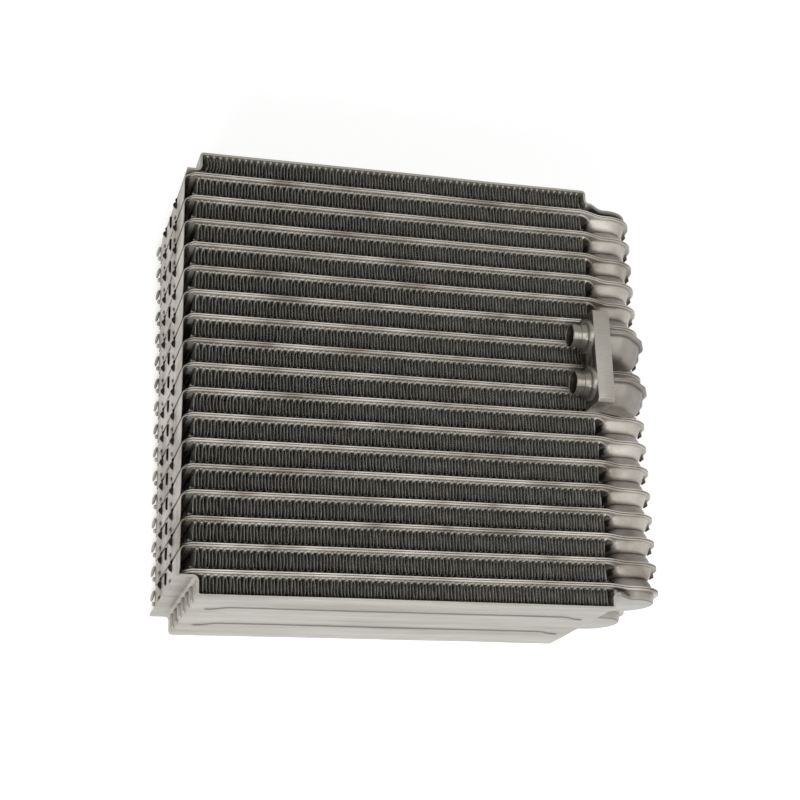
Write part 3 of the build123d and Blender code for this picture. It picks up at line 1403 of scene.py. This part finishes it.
    def shade(self, spot: Vector) -> float:
        """Painted shade round the cap's face, along the beads and between the cap and the stack.

        Args:
            spot: Point of the end plate.

        Returns:
            The share of stain, from 0 to 1.
        """
        height, fin_end = self.side * (spot.y - self.level), self.sizes.fin_end
        cap_edge = self.cap_depth - 0.15 * self.sheet
        # Painted shade: a dark line round the cap's face.
        if spot.x > fin_end + 5.0 and abs(height - cap_edge) < 0.05:
            return self.cap_painted_shade
        # Painted shade on the beads' slopes.
        on_slope = 0.05 < height - self.cover < 0.8 * self.bead_height
        if on_slope and spot.x > self.wall + self.bead_gap:
            return self.bead_painted_shade
        # Painted shade in the gap between the cap and the stack.
        gap_end = self.sizes.right if self.side > 0 else fin_end + self.gap_length
        under_cap = height < self.cap_depth - self.cap_rim + 0.1
        return self.gap_painted_shade if under_cap and fin_end + 2.0 < spot.x < gap_end else 0.0


@dataclass
class ConnectorBlock:
    """Machined block with two spigots and the bolt hole between them."""

    left: float
    right: float
    bottom: float
    top: float
    back: float
    front: float
    ports: tuple[float, ...]
    port_z: float
    spigot_radius: float = 6.25
    bore_radius: float = 4.6
    spigot_length: float = 9.8
    collar_radius: float = 9.0
    collar_thickness: float = 2.0
    bolt_radius: float = 3.0
    chamfer: float = 1.5
    edge: float = 0.35
    bore_floor: float = -8.6
    wall_offset: float = 0.8
    fillet: float = 0.9
    groove: float = 0.45
    drill_play: float = 0.75
    # Bright band of the spigots' painted reflection, and the shares of painted shade and painted
    # reflection.
    band_turn: float = 0.35
    band_half: float = 0.3
    face_painted_shade: float = 0.75
    painted_reflection_above: float = 0.35
    painted_reflection_below: float = 0.7

    @property
    def bolt_level(self) -> float:
        """Height of the bolt hole up the stack."""
        return sum(self.ports) / len(self.ports)

    def bar(self) -> BMesh:
        """The block itself, with chamfered front ends and broken edges.

        Returns:
            The mesh.
        """
        bm = bmesh.new()
        bmesh.ops.create_cube(bm, size=1.0)
        low = Vector((self.left, self.bottom, self.back))
        high = Vector((self.right, self.top, self.front))
        bmesh.ops.scale(bm, verts=bm.verts, vec=high - low)
        bmesh.ops.translate(bm, verts=bm.verts, vec=(low + high) / 2)
        depth = (self.back + self.front) / 2
        ends = [
            edge for edge in bm.edges
            if all(v.co.z > depth for v in edge.verts)
            and abs(edge.verts[0].co.y - edge.verts[1].co.y) < 1e-6
        ]
        common = {"profile": 0.5, "affect": "EDGES", "material": -1}
        bmesh.ops.bevel(bm, geom=ends, offset=self.chamfer, segments=1, **common)
        bmesh.ops.bevel(bm, geom=bm.edges[:], offset=self.edge, segments=2, **common)
        return bm

    def spigot_profile(self) -> Outline:
        """Half section of a spigot, from the middle of the bore's floor over its tip and collar.

        Returns:
            Points as (radius, distance out of the block).
        """
        tip, floor, collar = self.spigot_length, self.bore_floor, self.collar_thickness
        bore, skirt = self.bore_radius, self.bore_radius + self.wall_offset
        outer, rim = self.spigot_radius, self.collar_radius
        neck = outer - self.groove
        return [
            (0.0, floor), (bore - 0.4, floor), (bore, floor + 0.6),
            (bore, tip - 3.0), (skirt, tip - 0.6), (outer - 0.4, tip),
            (outer, tip - 0.5), (outer, tip - 2.4), (neck, tip - 2.7),
            (neck, tip - 4.4), (outer, tip - 4.7),
            (outer, collar + self.fillet), (outer + 0.3, collar + 0.3),
            (outer + self.fillet, collar), (rim - 0.5, collar),
            (rim, collar - 0.5), (rim, -0.4),
            (skirt, -0.4), (skirt, floor - 0.3), (0.0, floor - 0.3),
        ]

    def add_spigot(self, bm: BMesh, level: float) -> None:
        """Turn a spigot about its axis.

        Args:
            bm: Mesh of the block.
            level: Height of the spigot up the stack.
        """
        work = bmesh.new()
        verts = [work.verts.new((self.left - out, r, 0)) for r, out in self.spigot_profile()]
        edges = [work.edges.new(pair) for pair in zip(verts, verts[1:])]
        bmesh.ops.spin(
            work, geom=verts + edges, cent=(0, 0, 0), axis=(1, 0, 0),
            angle=2 * math.pi, steps=56, use_merge=True,
        )
        bmesh.ops.remove_doubles(work, verts=work.verts[:], dist=1e-4)
        bmesh.ops.recalc_face_normals(work, faces=work.faces[:])
        bmesh.ops.translate(work, verts=work.verts[:], vec=(0, level, self.port_z))
        Metalwork.join(bm, work)

    def drill(self, bar: bpy.types.Object, level: float, radius: float) -> None:
        """Cut a round hole through the bar, along the tubes.

        Args:
            bar: Object that is cut.
            level: Height of the hole up the stack.
            radius: Radius of the hole.
        """
        bm = bmesh.new()
        length = 2 * (self.right - self.left)
        bmesh.ops.create_cone(
            bm, cap_ends=True, segments=48, radius1=radius, radius2=radius, depth=length
        )
        bmesh.ops.rotate(bm, verts=bm.verts, matrix=Matrix.Rotation(math.pi / 2, 3, "Y"))
        bmesh.ops.translate(bm, verts=bm.verts, vec=(self.left, level, self.port_z))
        cutter = add_object("drill", new_mesh(bm, "drill"))
        cut = bar.modifiers.new("drill", "BOOLEAN")
        cut.operation, cut.solver, cut.object = "DIFFERENCE", "EXACT", cutter
        bpy.context.view_layer.update()
        evaluated = bar.evaluated_get(bpy.context.evaluated_depsgraph_get())
        drilled = bpy.data.meshes.new_from_object(evaluated)
        bar.modifiers.clear()
        bar.data = drilled
        bpy.data.objects.remove(cutter)

    def shade_paint(self, place: Vector) -> float:
        """Painted shade inside the bores and the bolt hole and on the block's left face, and
        painted reflection on the spigots: darker above and below a bright band.

        Args:
            place: Point of the block.

        Returns:
            The share of stain, from 0 to 1.
        """
        level = min(self.ports, key=lambda port: abs(place.y - port))
        across, deep, inside = place.y - level, place.z - self.port_z, place.x - self.left
        # Painted shade inside the bores.
        if math.hypot(across, deep) < self.bore_radius + 0.9:
            return 1.0
        # Painted shade inside the bolt hole, none on its rim.
        if math.hypot(place.y - self.bolt_level, deep) < self.bolt_radius + 0.1:
            return 0.0 if inside < 0.1 else 1.0
        # Painted shade on the block's left face.
        if inside > -0.1:
            return self.face_painted_shade if inside < 0.05 else 0.0
        # Painted reflection on the spigots: a bright band, less dark above it and darker below.
        from_band = math.atan2(across, deep) + self.band_turn
        if abs(from_band) < self.band_half:
            return 0.0
        return self.painted_reflection_above if from_band > 0 else self.painted_reflection_below

    def dress(self, finish: Material) -> None:
        """Publish the block with its spigots.

        Args:
            finish: Material of the block.
        """
        bar = add_object("bar", new_mesh(self.bar(), "bar"))
        self.drill(bar, self.bolt_level, self.bolt_radius)
        for level in self.ports:
            self.drill(bar, level, self.bore_radius + self.drill_play)
        bm = bmesh.new()
        bm.from_mesh(bar.data)
        bpy.data.objects.remove(bar)
        for level in self.ports:
            self.add_spigot(bm, level)
        Metalwork.publish(
            bm, "connector_block_machined", Slot.BLOCK, finish, ["connector_block"],
            sharp=30.0, shade=self.shade_paint,
        )


@dataclass
class Duct:
    """Two pressed shells, flanged together, between the block and the tank."""

    node: str
    level: float
    left: float
    right: float
    seat: float
    back: float
    front: float
    lobe: Point
    lobe_radius: float
    depth: float = 12.0
    rise: float = 4.5
    lip: float = 2.0
    sheet: float = 0.7
    bend: float = 9.0
    knee_length: float = 11.0
    hip_fall: float = 10.5
    root: float = 0.4
    dome: Steps = (
        (0.0, 0.0), (0.25, 0.1), (0.8, 0.3), (1.6, 0.52),
        (2.6, 0.7), (3.8, 0.84), (5.2, 0.94), (6.8, 1.0),
    )
    strip: float = 5.5
    groove_painted_shade: float = 0.6
    flat_painted_shade: float = 0.25
    wall_painted_shade: float = 0.7

    def outline(self, inset: float) -> Outline:
        """Plan of the duct.

        Args:
            inset: Distance inside the flange.

        Returns:
            The outline, square to the block and seated on the tank.
        """
        front, turned = self.front - inset, 0.75 * inset
        knee = (self.left + self.knee_length - 0.4 * inset, front)
        hip = (self.left + 2 * self.knee_length - turned, self.front - self.hip_fall - turned)
        tip = (self.right - inset, self.seat + 3.0)
        reach = tip[0] - self.lobe[0]
        fall = self.lobe_radius - math.sqrt(self.lobe_radius**2 - reach**2)
        far = math.degrees(math.acos(reach / self.lobe_radius))
        corners = [(self.left, front), knee, hip, tip, (tip[0], self.seat - fall)]
        rounded = fillet_path(corners, self.bend, 6)
        seat_line = arc(self.lobe, self.lobe_radius, far, 92, 6)[1:]
        block_line = (self.left, self.back)
        return rounded + seat_line + straight(seat_line[-1], block_line, 5.0) + [block_line]

    def shell_steps(self, reach: float, side: int) -> Outline:
        """Insets and heights of a shell, from the joint over its flange to its round top.

        Args:
            reach: Height of the shell.
            side: 1 for the shell above the joint, -1 for the one below.

        Returns:
            The steps.
        """
        rim, foot = self.sheet, self.sheet + self.root
        steps = [(0.0, 0.08), (0.0, rim), (0.2, rim + 0.15), (0.8, rim + 0.1)]
        steps += [(self.lip + inset, foot + share * (reach - foot)) for inset, share in self.dome]
        return [(inset, side * height) for inset, height in steps]

    def build(self) -> BMesh:
        """Shape the duct: a flat domed shell above its flange and a deep one below.

        Returns:
            The mesh.
        """
        bm = bmesh.new()
        for reach, side in ((self.rise, 1), (self.depth, -1)):
            Metalwork.loft(bm, self.outline, self.shell_steps(reach, side))
        bmesh.ops.translate(bm, verts=bm.verts, vec=(0, self.level, 0))
        bmesh.ops.recalc_face_normals(bm, faces=bm.faces[:])
        return bm

    def dress(self, finish: Material) -> None:
        """Publish the duct.

        Args:
            finish: Material of the duct.
        """
        Metalwork.publish(
            self.build(), f"{self.node}_shells", Slot.DUCT, finish, [self.node],
            sharp=50.0, shade=self.shade,
        )

    def shade(self, spot: Vector) -> float:
        """Painted shade in the grooves beside the flange, on the flat shell and down the outer
        wall.

        Args:
            spot: Point of the duct.

        Returns:
            The share of stain, from 0 to 1.
        """
        height, foot = spot.y - self.level, self.sheet + self.root
        # Painted shade: in the grooves, on the flat shell and down the outer wall.
        if abs(abs(height) - foot) < 0.1:
            return self.groove_painted_shade
        if height > foot:
            return self.flat_painted_shade
        on_wall = height < -foot and spot.x > self.right - self.strip
        return self.wall_painted_shade if on_wall else 0.0


@dataclass(frozen=True)
class Lamp:
    """Square soft lamp, by place and side in metres and power in watts."""

    name: str
    place: Triple
    side: float
    power: float


@dataclass
class Studio:
    """White floor, soft lamps and the camera of the view."""

    camera_place: Triple = (-236.6, -285.3, 839.6)
    camera_aim: Triple = (-1.5, 4.2, 44.5)
    camera_roll: float = 1.93
    lens: float = 74.93
    sensor: float = 36.0
    clip: Point = (0.01, 50.0)
    floor_half: float = 6.0
    floor_white: float = 0.9
    floor_rough: float = 0.9
    floor_specular: float = 0.1
    floor_lift: float = 0.60
    world_light: float = 0.30
    lamps: tuple[Lamp, ...] = (
        Lamp("key", (-0.35, -0.95, 0.8), 0.6, 5.5),
        Lamp("fill", (0.3, -0.2, 1.3), 0.8, 3.0),
    )

    def place_camera(self) -> None:
        """Put the camera above the front face, a little to the left and below."""
        place, aim = Vector(self.camera_place), Vector(self.camera_aim)
        forward = (aim - place).normalized()
        right = forward.cross(Vector((0, 1, 0))).normalized()
        turned = Matrix.Rotation(math.radians(self.camera_roll), 3, forward) @ right
        camera = bpy.data.cameras.new("camera")
        camera.lens, camera.sensor_width = self.lens, self.sensor
        camera.clip_start, camera.clip_end = self.clip
        mount = add_object("camera", camera)
        rotation = Matrix((turned, turned.cross(forward), -forward)).transposed()
        mount.matrix_world = Matrix.Translation(place * MILLIMETRE) @ rotation.to_4x4()
        bpy.context.scene.camera = mount

    def lay_floor(self) -> None:
        """Lay a floor that is white to the camera and keeps the core's shadow."""
        bm = bmesh.new()
        bmesh.ops.create_grid(bm, x_segments=1, y_segments=1, size=self.floor_half)
        floor = add_object("floor", new_mesh(bm, "floor"))
        nodes = NodeTree(bpy.data.materials.new("floor"))
        target = nodes.shader.inputs
        target["Base Color"].default_value = (*(self.floor_white,) * 3, 1.0)
        target["Roughness"].default_value = self.floor_rough
        target["Specular IOR Level"].default_value = self.floor_specular
        target["Emission Color"].default_value = WHITE
        lift = nodes.span(nodes.seen("Camera", "Glossy"), 0.0, self.floor_lift)
        nodes.link(lift, target["Emission Strength"])
        floor.data.materials.append(nodes.owner)

    def set_world(self) -> None:
        """Set a white world behind everything, dimmer as a light."""
        world = bpy.data.worlds.new("world")
        bpy.context.scene.world = world
        nodes = NodeTree(world)
        nodes.shader.inputs["Color"].default_value = WHITE
        level = nodes.span(nodes.seen("Camera", "Glossy", "Transmission"), self.world_light, 1.0)
        nodes.link(level, nodes.shader.inputs["Strength"])

    def hang_lamps(self) -> None:
        """Hang the soft lamps, all turned to the middle of the frame."""
        for lamp in self.lamps:
            light = bpy.data.lights.new(lamp.name, "AREA")
            light.size, light.energy = lamp.side, lamp.power
            holder = add_object(lamp.name, light)
            holder.location = lamp.place
            holder.rotation_euler = (-Vector(lamp.place)).to_track_quat("-Z", "Y").to_euler()

    def build(self) -> None:
        """Set up the whole studio."""
        self.place_camera()
        self.lay_floor()
        self.hang_lamps()
        self.set_world()
        bpy.context.scene.view_settings.view_transform = "Standard"


@dataclass
class EvaporatorCore:
    """The whole core, dressed in order."""

    sizes: CoreSizes = field(default_factory=CoreSizes.from_frame)
    bottom_inset: float = 3.1
    top_inset: float = 1.8
    crush: float = 1.8
    bent_fin: int = 13
    bent_flare: float = 4.0

    def finishes(self) -> dict[Slot, Material]:
        """Materials of the core by slot.

        Returns:
            One material for each slot.
        """
        return {
            Slot.TUBE_PLATE: BrazedSheet(
                "brazed_plate", (0.70, 0.66, 0.60), (0.50, 0.465, 0.41), (0.33, 0.29, 0.24)
            ).material(),
            Slot.END_PLATE: BrazedSheet(
                "rolled_sheet", (0.47, 0.45, 0.405), (0.40, 0.38, 0.34), (0.33, 0.305, 0.26),
                rough_low=0.30, rough_high=0.44, grain=(0.06, 1.0, 1.0),
                cloud_stretch=(0.12, 1.0, 1.0), cloud_scale=90.0,
            ).material(),
            Slot.BLOCK: BrazedSheet(
                "milled_bar", (0.40, 0.38, 0.335), (0.36, 0.34, 0.30), (0.31, 0.285, 0.245),
                metallic=0.6, rough_low=0.24, rough_high=0.38, grain=(0.15, 1.0, 1.0),
            ).material(),
            Slot.DUCT: BrazedSheet(
                "pressed_duct", (0.38, 0.355, 0.31), (0.29, 0.265, 0.23), (0.21, 0.185, 0.15),
                rough_low=0.34, rough_high=0.50,
            ).material(),
            Slot.FIN: CoatedFin().material(),
        }

    def fins(self) -> list[FinStrip]:
        """The corrugated strips, one for each packed fin.

        Returns:
            The strips from bottom to top.
        """
        strips, tubes = [], len(self.sizes.levels)
        for number in range(1, tubes + 2):
            low, high = packed_box(f"fin_{number:02d}")
            spans = (low.x, high.x, low.y, high.y, low.z, high.z)
            crushed = self.crush if number > tubes else 0.0
            flare = self.bent_flare if number == self.bent_fin else FinStrip.flare
            strips.append(FinStrip(number, *spans, crushed, flare))
        return strips

    def end_plates(self, plates: TubePlates) -> list[EndPlate]:
        """The bottom and the top end plate.

        Args:
            plates: Tube plates whose lobes the caps close.

        Returns:
            Both end plates.
        """
        s, found = self.sizes, []
        for node, level, side, inset, ribbed in (
            ("bottom_end_plate", s.levels[0], -1, self.bottom_inset, True),
            ("top_end_plate", s.levels[-1], 1, self.top_inset, False),
        ):
            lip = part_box(node)[0].x / MILLIMETRE
            found.append(EndPlate(s, plates, node, level, side, lip, inset, ribbed))
        return found

    def block(self, ports: tuple[float, ...]) -> ConnectorBlock:
        """The connector block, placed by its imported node.

        Args:
            ports: Heights of the ports up the stack.

        Returns:
            The block.
        """
        low, high = packed_box("connector_block")
        spans = (low.x + ConnectorBlock.spigot_length, high.x, low.y, high.y, low.z, high.z)
        return ConnectorBlock(*spans, ports, (low.z + high.z) / 2)

    def dress(self) -> None:
        """Build and dress every sub-assembly."""
        finishes = self.finishes()
        plates = TubePlates(self.sizes)
        plates.dress(finishes[Slot.TUBE_PLATE])
        for strip in self.fins():
            strip.dress(finishes[Slot.FIN])
        for plate in self.end_plates(plates):
            plate.dress(finishes[Slot.END_PLATE])
        boxes = {node: packed_box(node) for node in ("outlet_duct", "inlet_duct")}
        block = self.block(tuple((low.y + high.y) / 2 for low, high in boxes.values()))
        block.dress(finishes[Slot.BLOCK])
        for (node, (low, high)), level in zip(boxes.items(), block.ports):
            Duct(
                node, level, low.x, high.x, plates.lobe_centre[1] + plates.lobe_radius,
                block.back, block.front, plates.lobe_centre, plates.lobe_radius,
            ).dress(finishes[Slot.DUCT])


def main() -> None:
    """Build the studio and the core."""
    logging.basicConfig(level=logging.INFO, format="%(message)s")
    Studio().build()
    EvaporatorCore().dress()


if __name__ == "__main__":
    main()
